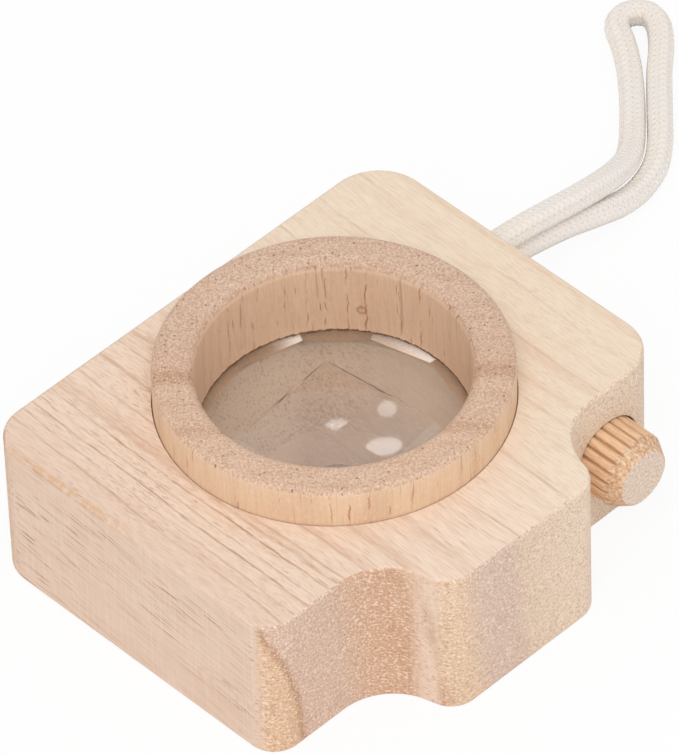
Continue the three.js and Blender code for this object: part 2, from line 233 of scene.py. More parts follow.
BODY_PORE_RELIEF = 0.7
BODY_SPECKS = Pattern((2.9, 2.9, 1.1), (0.53, 0.63), (249, 230, 210), 0.70, 2.5, 0.65)
BODY_PITS = BODY_SPECKS._replace(levels=(0.47, 0.34), colour=(178, 136, 107), strength=0.50)
# Dark lines of growth in the body: place across the grain, half width, strength
BODY_GROWTH_COLOUR = (172, 122, 84)
BODY_GROWTH_LINES = (
    (-34.0, 0.4, 0.20), (-26.5, 0.3, 0.24), (-18.5, 0.4, 0.30), (-15.2, 0.25, 0.22), (-9.0, 0.5, 0.30),
    (-3.0, 0.4, 0.28), (1.6, 0.30, 0.40), (10.5, 0.8, 0.38),
    (13.2, 0.35, 0.36), (17.0, 0.7, 0.45), (21.5, 0.35, 0.42), (24.6, 0.25, 0.45), (25.8, 0.6, 0.40),
    (27.2, 0.26, 0.95), (29.4, 0.24, 0.42), (31.0, 0.26, 0.75), (33.2, 0.25, 0.38), (35.5, 0.35, 0.48),
)

# Marks on the body's grip side: saw lines, a worn front edge and an eye in the grain
GRIP_SLOPE = (0.6, 0.9)
GRIP_SAWN = Pattern((0.3, 2.6, 0.10), (0.45, 0.75), (240, 220, 204), 0.30)
GRIP_WORN = Pattern((0.7, 0.7, 0.7), (0.38, 0.58), (212, 166, 122), 0.6, detail=3.0)
GRIP_WORN_Y = (-18.0, 22.0)
GRIP_WORN_X = (38.4, 39.0)
GRIP_WORN_Z = (24.9, 25.4)
GRIP_EYE = Tint((186, 142, 118), 0.13)
GRIP_EYE_PLACE = (13.0, 8.0)
GRIP_EYE_RADII = (5.0, 2.4)
GRIP_EYE_INNER = (0.55, 0.16)
GRIP_EYE_OUTER = (1.0, 0.14)

# Painted light in the well behind the lens: wood painted paler on two sides, and painted shade near the
# floor
WELL_RIM = (20.6, 20.2)
WELL_FROM = (4.0, 5.0)
WELL_PALE = Tint((255, 233, 209), 0.95)
WELL_PALE_GRIP = (3.0, 13.0)
WELL_PALE_STRAP = (-6.0, -16.0)
WELL_PALE_STRAP_SHARE = 0.5
WELL_PALE_LEAST = 0.25
WELL_SHADE = Tint((176, 130, 98), 0.38)
WELL_SHADE_FROM = (11.0, 5.6)
WELL_SHADE_SPARED = 0.6

# Ring wood, with places in millimetres
RING_ROUGHNESS = 0.6
RING_END_SLOPE = (0.18, 0.55)
RING_GRAIN_TURN = math.radians(45)
RING_BANDS_FROM = 29.1
RING_BANDS_WIDTH = 52.0
RING_LONG_STOPS = ((0.0, (232, 201, 170)), (0.5, (231, 198, 166)), (1.0, (234, 203, 171)))
RING_END_STOPS = (
    (0.0, (217, 184, 160)), (0.30, (215, 181, 157)), (0.50, (214, 178, 153)), (0.53, (199, 159, 131)),
    (0.56, (202, 163, 136)), (0.58, (218, 183, 157)), (0.73, (218, 183, 157)), (0.76, (204, 165, 137)),
    (0.79, (219, 184, 158)), (1.0, (220, 185, 159)),
)
RING_BANDS = Pattern((0.06, 0.7, 0.01), (0.48, 0.75), (196, 154, 126), 0.35)
# Painted light: the bore's inner wall painted paler, as if more light reached it
RING_INNER_LIGHT = Tint((250, 212, 180), 0.45)
RING_INNER_WALL = (21.0, 20.4)
RING_FIBRE = Pattern((3.4, 3.4, 0.10), (0.35, 0.8), (198, 150, 118), 0.30, 3.0, 0.6)
RING_SANDED = Pattern((2.2, 2.2, 1.4), (0.50, 0.66), (244, 218, 198), 0.35, 3.0, 0.7)
RING_PORES = Pattern((2.3, 2.3, 0.16), (0.69, 0.75), (164, 106, 74), 0.6, detail=1.0)
RING_PORE_RELIEF = 0.8
RING_SPECKS = Pattern((3.0, 3.0, 0.9), (0.51, 0.63), (244, 220, 198), 0.52, 3.0, 0.7)
RING_PITS = RING_SPECKS._replace(levels=(0.48, 0.36), colour=(170, 124, 98), strength=0.46)
# Dark streaks in the ring's walls: angle in degrees, half width in millimetres, strength
RING_STREAKS = (
    (44, 0.20, 0.5), (50, 0.28, 0.8), (56.5, 0.22, 0.6), (70, 0.16, 0.45), (95, 0.16, 0.45), (28, 0.15, 0.4),
    (-173, 0.24, 0.75), (-148, 0.24, 0.75), (-140, 0.20, 0.6), (-131, 0.20, 0.6), (-114, 0.20, 0.6),
    (-92, 0.16, 0.45), (-85, 0.18, 0.5), (-78, 0.16, 0.45), (-163, 0.15, 0.4), (-123, 0.15, 0.4),
)
RING_STREAK = Tint((172, 102, 66), 1.0)
RING_SWAY = Pattern((0.3, 0.3, 0.5))
RING_SWAY_WIDTH = 1.2
RING_STREAK_BROKEN = Pattern((1.2, 1.2, 0.30), (0.46, 0.60), detail=1.0)
RING_STREAK_RELIEF = 0.4
RING_VESSEL = Tint((134, 88, 64), 0.7)
RING_VESSEL_CYCLES = (0.85, 0.85, 0.03)
RING_VESSEL_KEPT = (0.42, 0.48)
RING_VESSEL_RADIUS = (0.21, 0.11)
RING_VESSEL_LEAST = 0.4
RING_KNOT = Tint((182, 124, 78), 0.6)
RING_KNOT_ANGLE = math.radians(-146)
RING_KNOT_HEIGHT = 23.3 * MM
RING_KNOT_RING = (0.6, 0.45)
# Painted shade under the ring's lip and on the rebate wall below it, with a torn upper edge
RING_LIP_SHADE = Tint((88, 58, 42), 0.85)
RING_LIP_TORN = Pattern((1.3, 1.3, 1.3), detail=3.0, roughness=0.7)
RING_LIP_HEIGHT = 0.9
RING_LIP_EDGE = (-0.04, -0.16)
RING_LIP_WALL = (22.7, 22.4)

# Dowel wood
DOWEL_ROUGHNESS = 0.7
DOWEL_END_SLOPE = (0.75, 0.95)
DOWEL_TIP_SLOPE = (0.35, 0.55)
DOWEL_LONG_STOPS = ((0.3, (216, 174, 136)), (0.7, (244, 208, 172)))
DOWEL_TIP_STOPS = ((0.36, (192, 148, 112)), (0.50, (218, 180, 146)), (0.66, (240, 212, 184)))
DOWEL_END_STOPS = ((0.32, (204, 174, 152)), (0.50, (224, 202, 184)), (0.68, (240, 225, 210)))
DOWEL_FIBRE = Pattern((2.6, 2.6, 0.25), detail=3.0, roughness=0.65)
DOWEL_CRUMBS = Pattern((2.2, 2.2, 1.6), detail=3.0, roughness=0.7)
DOWEL_PORES = Pattern((4.0, 4.0, 0.4), (0.66, 0.74), (150, 110, 82), 0.4, detail=1.0)
# Painted shade in the flutes' hollows, stronger with their depth in millimetres
DOWEL_GROOVE_SHADE = Tint((150, 104, 70), 0.55)
DOWEL_GROOVE_DEPTHS = (0.10, 0.42)

# Acrylic: clear, with a fine haze on the dish, and unpolished on the bevels, which carry a painted glow and
# two painted highlight strips
ACRYLIC = {"IOR": 1.49, "Coat_Weight": 0.5}
CLEAR = {"Base_Color": (1.0, 0.98, 0.955, 1.0), "Transmission_Weight": 0.94, "Coat_Roughness": 0.02}
CLEAR_HAZE = Pattern((0.6, 0.6, 0.6), (0.35, 0.8), detail=4.0)
CLEAR_ROUGHNESS = 0.01
CLEAR_SMEAR = 0.03
GRIT = Pattern((2.5, 2.5, 2.5), detail=3.0)
SCUFFED = {"Transmission_Weight": 0.93, "Coat_Roughness": 0.012}
SCUFF_STOPS = ((0.3, (238, 224, 212)), (0.7, (250, 240, 230)))
SCUFF_ROUGHNESS = 0.012
SCUFF_GRIT = 0.006
GROUND = {"Coat_Roughness": 0.012}
GROUND_STOPS = ((0.3, (190, 156, 128)), (0.7, (208, 176, 148)))
# Painted light: a faint glow on the bevels, which lie in shade under the ring's lip
GROUND_PAINTED_GLOW = 0.10
GROUND_CLEARNESS = 0.5
GROUND_ROUGHNESS = 0.4
GROUND_GRIT = 0.2
# Painted highlight: the pale colour, glow and lost clearness of the strips
HIGHLIGHT_STOPS = ((0.3, (228, 213, 200)), (0.7, (243, 231, 220)))
HIGHLIGHT_GLOW = 0.36
HIGHLIGHT_CLEARNESS_LOST = 0.4
# Painted highlight strips on the lens's bevels, pale and glowing: the angles of their bright and dim ends in
# degrees, the dim end's share
PAINTED_HIGHLIGHT_STRIPS = ((-180.0, -150.0, 0.45), (-120.0, -103.0, 0.0))
HIGHLIGHT_EDGE = (0.3, 0.1)

# Steel and cotton
STEEL_DRAWN = Pattern((2.0, 8.0, 2.0), detail=3.0)
STEEL_STOPS = ((0.2, (160, 162, 165)), (0.8, (196, 198, 200)))
STEEL_ROUGHNESS = 0.22
STEEL_GRIT = 0.2
STEEL_RELIEF = (0.01 * MM, 0.4)
COTTON_TINT = Pattern((0.07, 0.07, 0.07))
COTTON_STOPS = ((0.40, (245, 236, 226)), (0.60, (243, 236, 230)))
COTTON_FIBRES = Pattern((4.5, 4.5, 4.5), (0.35, 0.75), (224, 213, 202), 0.25, 4.0, 0.7)
COTTON = {"Roughness": 0.9, "Specular_IOR_Level": 0.15, "Sheen_Weight": 0.3, "Sheen_Roughness": 0.5}
COTTON_RELIEF = (0.08 * MM, 0.7)

# Camera, fitted to the picture's edges
PICTURE_HEIGHT_PX = 755
FOCAL_PX = 9035.6
SENSOR_MM = 36.0
CLIP_START = 0.01
CLIP_END = 50
VIEW_AZIMUTH = math.radians(136.699)
VIEW_ELEVATION = math.radians(45.187)
VIEW_ROLL = math.radians(-2.184)
VIEW_DISTANCE = 1285.23 * MM
VIEW_SIDEWAYS = 0.691 * MM
VIEW_UPWARDS = 2.308 * MM

# Light and floor
WHITE = (1.0, 1.0, 1.0, 1.0)
SKY_STRENGTH = 0.72
FLOOR_SIZE = 6.0
FLOOR_COLOUR = (0.92, 0.92, 0.92, 1.0)
FLOOR_ROUGHNESS = 0.9
FLOOR_GLOW = 0.9
KEY_TOWARD = (0.42, 0.40, 0.82)
KEY_DISTANCE = 1.2
KEY_SIZE = (0.6, 0.6)
KEY_POWER = 5.7
# Small lamps mirrored in the lens: name, facet, place on it in millimetres, lamp's size, radiance
CATCH_LIGHTS = (
    ("catch_top", (-1, -1), (-1.3, -0.8), (6.1 * MM, 2.8 * MM), 3.8),
    ("catch_right", (-1, 1), (-1.8, 7.3), (9.4 * MM, 4.6 * MM), 4.0),
    ("catch_soft", (-1, 1), (-7.9, 3.0), (5.0 * MM, 4.0 * MM), 3.0),
)

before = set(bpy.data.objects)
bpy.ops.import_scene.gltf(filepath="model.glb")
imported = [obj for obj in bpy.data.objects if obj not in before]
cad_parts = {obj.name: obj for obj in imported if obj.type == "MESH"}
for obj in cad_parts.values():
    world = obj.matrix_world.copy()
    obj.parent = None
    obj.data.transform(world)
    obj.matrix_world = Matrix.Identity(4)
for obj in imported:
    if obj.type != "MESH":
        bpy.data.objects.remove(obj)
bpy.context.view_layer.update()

# Places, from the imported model
body_low, body_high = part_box("camera_body")
ring_low, ring_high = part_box("lens_ring")
lens_low, lens_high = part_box("kaleidoscope_lens")
button_low, button_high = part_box("shutter_button")
button_pin_low, button_pin_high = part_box("shutter_pin")
spring_low, spring_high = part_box("shutter_spring")
lens_axis = (ring_low + ring_high) / 2
ring_radius = (ring_high.x - ring_low.x) / 2
lens_place = Matrix.Translation((lens_axis.x, lens_axis.y, 0))
button_axis = (button_low + button_high) / 2
button_radius = (button_high.x - button_low.x) / 2
button_pin_axis = (button_pin_low + button_pin_high) / 2
button_pin_radius = (button_pin_high.y - button_pin_low.y) / 2
button_pin_place = Matrix.Translation((button_pin_axis.x, button_pin_axis.y, 0))
button_pin = (button_pin_radius, button_pin_low.z, button_pin_high.z, button_pin_place)
strap_mouth = Vector((body_low.x, body_low.y + STRAP_HEIGHT, (body_low.z + body_high.z) / 2))


# Mesh helpers

def put(name, data):
    """Puts a new object in the scene."""
    thing = bpy.data.objects.new(name, data)
    bpy.context.scene.collection.objects.link(thing)
    return thing


def mesh_of(name, bm):
    """A mesh from a bmesh, which is used up."""
    mesh = bpy.data.meshes.new(name)
    bm.to_mesh(mesh)
    bm.free()
    return mesh


def new_piece(name, bm, material, body, node):
    """Makes a piece from a bmesh, gives it its material and puts it in the place of a CAD node."""
    mesh = mesh_of(name, bm)
    mesh.materials.append(material)
    piece = put(name, mesh)
    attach(piece, body)
    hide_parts(node)
    return piece


def loft(loops, closed=False):
    """A bmesh through loops that have the same number of points, with its ends capped or joined."""
    bm = bmesh.new()
    rings = [[bm.verts.new(point) for point in loop] for loop in loops]
    pairs = list(zip(rings, rings[1:]))
    if closed:
        pairs.append((rings[-1], rings[0]))
    for lower, upper in pairs:
        for i in range(len(lower)):
            j = (i + 1) % len(lower)
            bm.faces.new((lower[i], lower[j], upper[j], upper[i]))
    if not closed:
        bm.faces.new(rings[0][::-1])
        bm.faces.new(rings[-1])
    bmesh.ops.recalc_face_normals(bm, faces=bm.faces)
    return bm


def smooth(piece, angle):
    """Smooth shading up to an edge angle, with flat faces kept flat."""
    for polygon in piece.data.polygons:
        polygon.use_smooth = True
    piece.data.set_sharp_from_angle(angle=math.radians(angle))
    weighted = piece.modifiers.new("flat_faces", "WEIGHTED_NORMAL")
    weighted.keep_sharp = True


def cut(piece, cutters):
    """Takes the cutters' solids out of a piece, for good."""
    for bm in cutters:
        mesh = mesh_of("cutter", bm)
        tool = put("cutter", mesh)
        boolean = piece.modifiers.new("cut", "BOOLEAN")
        boolean.object = tool
        boolean.operation = "DIFFERENCE"
        boolean.solver = "EXACT"
        result = bpy.data.meshes.new_from_object(
            piece.evaluated_get(bpy.context.evaluated_depsgraph_get())
        )
        piece.modifiers.clear()
        old = piece.data
        piece.data = result
        result.name = old.name
        bpy.data.meshes.remove(old)
        bpy.data.objects.remove(tool)
        bpy.data.meshes.remove(mesh)


def full_turn(steps):
    """Even angles all the way round."""
    return [2 * math.pi * i / steps for i in range(steps)]


def circle(radius, height, sides):
    return [Vector((radius * math.cos(t), radius * math.sin(t), height)) for t in full_turn(sides)]


def turned(profile, sides, place):
    """A solid turned about its own Z from (radius, height) points, then put in place by a matrix."""
    bm = loft([circle(radius, height, sides) for radius, height in profile])
    bmesh.ops.transform(bm, matrix=place, verts=bm.verts)
    return bm


def drill(radius, start, end, sides, place):
    return turned(((radius, start), (radius, end)), sides, place)


def hull(points):
    bm = bmesh.new()
    for point in points:
        bm.verts.new(point)
    bmesh.ops.convex_hull(bm, input=bm.verts)
    return bm


def along_y(x, z):
    """Puts a solid that is turned about Z upright along +Y, at x and z."""
    return Matrix.Translation((x, 0, z)) @ Matrix.Rotation(-math.pi / 2, 4, "X")


def quarter(centre, radius, start, steps=ROUND_STEPS):
    """(across, up) points of a quarter round, from the start angle on."""
    angles = [start + math.pi / 2 * i / steps for i in range(steps + 1)]
    return [(centre[0] + radius * math.cos(t), centre[1] + radius * math.sin(t)) for t in angles]


def rounded_outline(corners):
    """(point, outward normal) pairs round a polygon with arcs for corners, which are (x, y, radius)."""
    found = []
    for i, (x, y, radius) in enumerate(corners):
        before = corners[i - 1]
        after = corners[(i + 1) % len(corners)]
        corner = Vector((x, y))
        into = (corner - Vector(before[:2])).normalized()
        out = (Vector(after[:2]) - corner).normalized()
        turn = math.atan2(into.x * out.y - into.y * out.x, into.dot(out))
        side = math.copysign(1, turn)
        reach = radius * math.tan(abs(turn) / 2)
        centre = corner - into * reach + Vector((-into.y, into.x)) * side * radius
        start = math.atan2(-into.x * side, into.y * side)
        steps = math.ceil(abs(turn) / ARC_STEP)
        for k in range(steps + 1):
            angle = start + turn * k / steps
            spoke = Vector((math.cos(angle), math.sin(angle)))
            found.append((centre + spoke * radius, spoke * side))
    return found


def smooth_route(points, step):
    """Points about a step apart on a centripetal Catmull-Rom line, with its end points carried on."""
    ends = [2 * points[0] - points[1], *points, 2 * points[-1] - points[-2]]
    fine = []
    for a, b, c, d in zip(ends, ends[1:], ends[2:], ends[3:]):
        t1 = (b - a).length ** 0.5
        t2 = t1 + (c - b).length ** 0.5
        t3 = t2 + (d - c).length ** 0.5
        for k in range(ROUTE_STEPS):
            t = t1 + (t2 - t1) * k / ROUTE_STEPS
            ab = a.lerp(b, t / t1)
            bc = b.lerp(c, (t - t1) / (t2 - t1))
            cd = c.lerp(d, (t - t2) / (t3 - t2))
            abc = ab.lerp(bc, t / t2)
            bcd = bc.lerp(cd, (t - t1) / (t3 - t1))
            fine.append(abc.lerp(bcd, (t - t1) / (t2 - t1)))
    fine.append(points[-1])
    even = [fine[0]]
    left = step
    for a, b in zip(fine, fine[1:]):
        gap = (b - a).length
        at = left
        while at <= gap:
            even.append(a.lerp(b, at / gap))
            at += step
        left = at - gap
    return even


def carried_frames(line):
    """(point, side, other side) along a line, the sides carried on with no twist."""
    tangent = (line[1] - line[0]).normalized()
    side = tangent.cross(Vector((0, 0, 1))).normalized()
    frames = []
    for i, point in enumerate(line):
        ahead = line[min(i + 1, len(line) - 1)]
        behind = line[max(i - 1, 0)]
        following = (ahead - behind).normalized()
        side = (tangent.rotation_difference(following) @ side).normalized()
        tangent = following
        frames.append((point, side, tangent.cross(side)))
    return frames


def tube(line, radius, sides):
    """Loops of a round section along a line."""
    loops = []
    for point, side, other in carried_frames(line):
        spokes = [math.cos(t) * side + math.sin(t) * other for t in full_turn(sides)]
        loops.append([point + radius * spoke for spoke in spokes])
    return loops


# Node helpers

def operator(name):
    return lambda self, other=0.0: self.nodes.math(name, self, other)


class Value:
    """A node's output, to reckon with in plain sums."""

    def __init__(self, nodes, socket):
        self.nodes = nodes
        self.socket = socket

    __add__ = operator("ADD")
    __sub__ = operator("SUBTRACT")
    __mul__ = operator("MULTIPLY")
    __truediv__ = operator("DIVIDE")
    __abs__ = operator("ABSOLUTE")
    most = operator("MAXIMUM")

    def __rsub__(self, other):
        return self.nodes.math("SUBTRACT", other, self)

    def beside(self, name):
        """Another output of the same node."""
        return Value(self.nodes, self.socket.node.outputs[name])

    def at_least(self, least):
        """A share from 0 to 1, squeezed to go from a least value to 1."""
        return self * (1 - least) + least

    def ramp(self, low, high):
        """0 below low, 1 above high, with a smooth step between them."""
        inputs = {"Value": self, "From Min": low, "From Max": high}
        return self.nodes.add("MapRange", "Result", inputs, interpolation_type="SMOOTHSTEP")

    def near(self, middle, reach):
        """1 at the middle, falling to 0 at its reach on both sides."""
        return abs(self - middle).ramp(reach, 0.0)

    def colours(self, stops):
        """A colour ramp from (position, sRGB bytes) stops."""
        ramp = self.nodes.add("ValToRGB", "Color", {"Fac": self})
        elements = ramp.socket.node.color_ramp.elements
        while len(elements) < len(stops):
            elements.new(0.5)
        for element, (position, colour) in zip(elements, stops):
            element.position = position
            element.color = srgb(*colour)
        return ramp


class Nodes:
    """A material's or world's node tree, with short ways to add nodes and a colour to paint on."""

    def __init__(self, owner):
        owner.use_nodes = True
        self.owner = owner
        self.tree = owner.node_tree
        self.colour = None

    def feed(self, node, inputs):
        """Links values to a node's inputs, or sets the inputs' own values."""
        for name, value in inputs.items():
            if isinstance(value, Value):
                self.tree.links.new(value.socket, node.inputs[name])
            else:
                node.inputs[name].default_value = value

    def add(self, kind, output, inputs, **settings):
        """Adds a node, feeds it and gives one of its outputs."""
        node = self.tree.nodes.new("ShaderNode" + kind)
        for key, value in settings.items():
            setattr(node, key, value)
        self.feed(node, inputs)
        return Value(self, node.outputs[output])

    def surface(self, **inputs):
        """Feeds the main shader's inputs, which are named with _ for each space."""
        named = {name.replace("_", " "): value for name, value in inputs.items()}
        self.feed(self.tree.nodes["Principled BSDF"], named)

    def show_mix(self, share, first, second, output):
        """Shows a mix of a node that is there and another shader at an output node."""
        there = Value(self, self.tree.nodes[first].outputs[0])
        mix = self.add("MixShader", 0, {0: share, 1: there, 2: second})
        self.feed(self.tree.nodes[output], {"Surface": mix})

    def math(self, operation, a, b=0.0):
        return self.add("Math", 0, {0: a, 1: b}, operation=operation)

    def vector(self, operation, a, b, output="Vector"):
        return self.add("VectorMath", output, {0: a, 1: b}, operation=operation)

    def length(self, a, b):
        return self.math("SQRT", a * a + b * b)

    def mix(self, share, a, b):
        return self.add("Mix", "Result", {"Factor": share, "A": a, "B": b}, data_type="RGBA")

    def paint(self, tint, share):
        """Paints the colour over with a tint or a pattern's colour."""
        self.colour = self.mix(share * tint.strength, self.colour, srgb(*tint.colour))

    def split(self, vector):
        x = self.add("SeparateXYZ", "X", {0: vector})
        return x, x.beside("Y"), x.beside("Z")

    def normal(self):
        """The surface's direction in the piece's own frame, as three numbers."""
        return self.split(self.add("TexCoord", "Normal", {}))

    def millimetres(self):
        """The place on the piece, in millimetres."""
        return self.vector("MULTIPLY", self.add("TexCoord", "Object", {}), (1 / MM, 1 / MM, 1 / MM))

    def from_lens_axis(self):
        """A place's x and y from the lens's axis, and its height, in millimetres."""
        x, y, z = self.split(self.millimetres())
        return x - lens_axis.x / MM, y - lens_axis.y / MM, z

    def noise(self, vector, pattern, output="Fac"):
        stretched = self.vector("MULTIPLY", vector, pattern.cycles)
        inputs = {"Scale": 1.0, "Detail": pattern.detail, "Roughness": pattern.roughness}
        return self.add("TexNoise", output, {"Vector": stretched, **inputs})

    def pattern(self, vector, pattern):
        """A pattern's noise, from 0 to 1 between its levels."""
        return self.noise(vector, pattern).ramp(*pattern.levels)

    def bump(self, height, distance, strength):
        inputs = {"Height": height, "Distance": distance, "Strength": strength}
        self.surface(Normal=self.add("Bump", "Normal", inputs))


def srgb(red, green, blue):
    """Linear colour from sRGB bytes."""
    def linear(byte):
        value = byte / 255
        return value / 12.92 if value <= 0.04045 else ((value + 0.055) / 1.055) ** 2.4
    return (linear(red), linear(green), linear(blue), 1.0)


def material_nodes(name):
    return Nodes(bpy.data.materials.new(name))


# Materials

def wood_coordinates(nodes, turn):
    """Millimetre coordinates with the grain along Z, bent a little as grain is."""
    straight = nodes.add("Mapping", "Vector", {"Vector": nodes.millimetres(), "Rotation": turn})
    drift = nodes.vector("SUBTRACT", nodes.noise(straight, DRIFT, "Color"), DRIFT_MIDDLE)
    return nodes.vector("ADD", straight, nodes.vector("MULTIPLY", drift, DRIFT_REACH))


def finish_wood(nodes, roughness, relief):
    nodes.surface(Base_Color=nodes.colour, Roughness=roughness, Specular_IOR_Level=WOOD_GLOSS)
    nodes.bump(relief, *WOOD_RELIEF)
    return nodes.owner


def cut_ends(nodes, grain, end_grain, specks, pits):
    """Paints specks and pits on end grain, and gives the height of both."""
    grains = nodes.noise(grain, specks)
    speckled = grains.ramp(*specks.levels) * end_grain
    pitted = grains.ramp(*pits.levels) * end_grain
    nodes.paint(specks, speckled)
    nodes.paint(pits, pitted)
    return speckled * SPECK_RELIEF - pitted


def grip_marks(nodes, grip_side):
    """Paints the saw lines, the worn edge and the eye on the body's grip side."""
    mm = nodes.millimetres()
    x, y, z = nodes.split(mm)
    nodes.paint(GRIP_SAWN, nodes.pattern(mm, GRIP_SAWN) * grip_side)
    worn = y.near(*GRIP_WORN_Y) * x.ramp(*GRIP_WORN_X) * z.ramp(*GRIP_WORN_Z)
    nodes.paint(GRIP_WORN, worn * nodes.pattern(mm, GRIP_WORN))
    eye_along = (y - GRIP_EYE_PLACE[0]) / GRIP_EYE_RADII[0]
    eye_up = (z - GRIP_EYE_PLACE[1]) / GRIP_EYE_RADII[1]
    eye = nodes.length(eye_along, eye_up)
    rings = eye.near(*GRIP_EYE_INNER).most(eye.near(*GRIP_EYE_OUTER))
    nodes.paint(GRIP_EYE, rings * grip_side)


def well_light(nodes):
    """Paints light into the well behind the lens as if it came through the lens, and paints shade near the
    well's floor.
    """
    from_x, from_y, z = nodes.from_lens_axis()
    bored = nodes.length(from_x, from_y).ramp(*WELL_RIM) * z.ramp(*WELL_FROM)
    sideways = from_x - from_y
    strap_side = sideways.ramp(*WELL_PALE_STRAP) * WELL_PALE_STRAP_SHARE
    pale = sideways.ramp(*WELL_PALE_GRIP).most(strap_side).most(WELL_PALE_LEAST)
    # Painted light: paler wood where light through the lens would fall
    nodes.paint(WELL_PALE, bored * pale)
    # Painted shade near the well's floor, less where the painted light falls
    nodes.paint(WELL_SHADE, bored * z.ramp(*WELL_SHADE_FROM) * (1.0 - pale * WELL_SHADE_SPARED))


def body_wood():
    nodes = material_nodes("body_wood")
    grain = wood_coordinates(nodes, (math.radians(90 + BODY_GRAIN_SLOPE), 0, 0))
    across, depth, _ = nodes.split(grain)
    normal_x, normal_y, _ = nodes.normal()
    end_grain = abs(normal_y).ramp(*BODY_END_SLOPE)
    long_grain = 1.0 - end_grain
    grip_side = normal_x.ramp(*GRIP_SLOPE)
    lean = (depth + BODY_LEAN_FROM) * BODY_LEAN
    bow = (depth + BODY_BOW_FROM) / BODY_BOW_REACH
    growth = across + lean + (1.0 - bow * bow) * across.ramp(*BODY_BOW_ACROSS) * BODY_BOW
    share = (growth + BODY_HALF) / (2 * BODY_HALF)
    nodes.colour = nodes.mix(end_grain, share.colours(BODY_LONG_STOPS), share.colours(BODY_END_STOPS))
    lively = share.ramp(*LIVELY_ACROSS).at_least(LIVELY_LEAST)
    bands = nodes.pattern(grain, BODY_BANDS) * (long_grain + BODY_BANDS_END)
    nodes.paint(BODY_BANDS, bands * lively)
    dashes = nodes.pattern(grain, BODY_DASHES).at_least(BODY_DASHES_LEAST)
    fade = nodes.pattern(grain, BODY_FADE) * dashes * long_grain
    wavy = growth + (nodes.noise(grain, BODY_RIPPLE) - 0.5) * BODY_RIPPLE_WIDTH
    for middle, reach, strength in BODY_GROWTH_LINES:
        nodes.paint(Tint(BODY_GROWTH_COLOUR, strength), wavy.near(middle, reach) * fade)
    fibre = nodes.noise(grain, BODY_FIBRE)
    nodes.paint(BODY_FIBRE, fibre.ramp(*BODY_FIBRE.levels) * lively)
    patches = nodes.pattern(grain, BODY_PATCHES) * share.ramp(*BODY_PORES_ACROSS)
    crowd = patches.at_least(BODY_PORES_LEAST) * grip_side.at_least(BODY_PORES_FRONT)
    pores = nodes.pattern(grain, BODY_PORES) * long_grain * crowd
    nodes.paint(BODY_PORES, pores)
    grip_marks(nodes, grip_side)
    well_light(nodes)
    ends = cut_ends(nodes, grain, end_grain, BODY_SPECKS, BODY_PITS)
    return finish_wood(nodes, BODY_ROUGHNESS, fibre * FIBRE_RELIEF + ends - pores * BODY_PORE_RELIEF)


def ring_streaks(nodes, grain, angle, radius):
    """Shares of the dark streaks round the ring's walls."""
    swayed = angle * radius + nodes.noise(nodes.millimetres(), RING_SWAY) * RING_SWAY_WIDTH
    streaks = 0.0
    for degrees, reach, strength in RING_STREAKS:
        at = radius * math.radians(degrees) + RING_SWAY_WIDTH / 2
        streaks = (swayed.near(at, reach) * strength).most(streaks)
    return streaks * nodes.pattern(grain, RING_STREAK_BROKEN)


def ring_vessels(nodes, grain, end_grain):
    """Shares of the dark vessels, which show most on end grain."""
    stretched = nodes.vector("MULTIPLY", grain, RING_VESSEL_CYCLES)
    distance = nodes.add("TexVoronoi", "Distance", {"Vector": stretched, "Scale": 1.0})
    kept = nodes.split(distance.beside("Color"))[0].ramp(*RING_VESSEL_KEPT)
    return distance.ramp(*RING_VESSEL_RADIUS) * kept * end_grain.at_least(RING_VESSEL_LEAST)


def ring_knot(nodes):
    """Share of the ring round a small knot in the bore's wall."""
    spoke = Vector((math.cos(RING_KNOT_ANGLE), math.sin(RING_KNOT_ANGLE), 0))
    middle = (lens_axis + spoke * RING_BORE / 2) / MM
    middle.z = RING_KNOT_HEIGHT / MM
    return nodes.vector("DISTANCE", nodes.millimetres(), middle, "Value").near(*RING_KNOT_RING)


def ring_wood():
    nodes = material_nodes("ring_wood")
    grain = wood_coordinates(nodes, (0, 0, RING_GRAIN_TURN))
    from_x, from_y, z = nodes.from_lens_axis()
    angle = nodes.math("ARCTAN2", from_y, from_x)
    radius = nodes.length(from_x, from_y)
    end_grain = abs(nodes.normal()[2]).ramp(*RING_END_SLOPE)
    long_grain = 1.0 - end_grain
    share = (nodes.split(grain)[1] + RING_BANDS_FROM) / RING_BANDS_WIDTH
    nodes.colour = nodes.mix(end_grain, share.colours(RING_LONG_STOPS), share.colours(RING_END_STOPS))
    nodes.paint(RING_BANDS, nodes.pattern(grain, RING_BANDS))
    # Painted light on the bore's inner wall
    nodes.paint(RING_INNER_LIGHT, radius.ramp(*RING_INNER_WALL) * long_grain)
    fibre = nodes.noise(grain, RING_FIBRE)
    nodes.paint(RING_FIBRE, fibre.ramp(*RING_FIBRE.levels) * long_grain)
    nodes.paint(RING_SANDED, nodes.pattern(nodes.millimetres(), RING_SANDED) * long_grain)
    pores = nodes.pattern(grain, RING_PORES)
    nodes.paint(RING_PORES, pores)
    streaks = ring_streaks(nodes, grain, angle, radius) * long_grain
    nodes.paint(RING_STREAK, streaks)
    nodes.paint(RING_VESSEL, ring_vessels(nodes, grain, end_grain))
    nodes.paint(RING_KNOT, ring_knot(nodes))
    ends = cut_ends(nodes, grain, end_grain, RING_SPECKS, RING_PITS)
    # Painted shade under the lip, in the gap down to the lens
    edge = z - nodes.noise(nodes.millimetres(), RING_LIP_TORN) * RING_LIP_HEIGHT
    lip = (ring_high.z - RING_BORE_DEPTH) / MM
    nodes.paint(RING_LIP_SHADE, (edge - lip).ramp(*RING_LIP_EDGE) * radius.ramp(*RING_LIP_WALL))
    hollows = pores.most(streaks * RING_STREAK_RELIEF)
    return finish_wood(nodes, RING_ROUGHNESS, fibre * FIBRE_RELIEF + ends - hollows * RING_PORE_RELIEF)


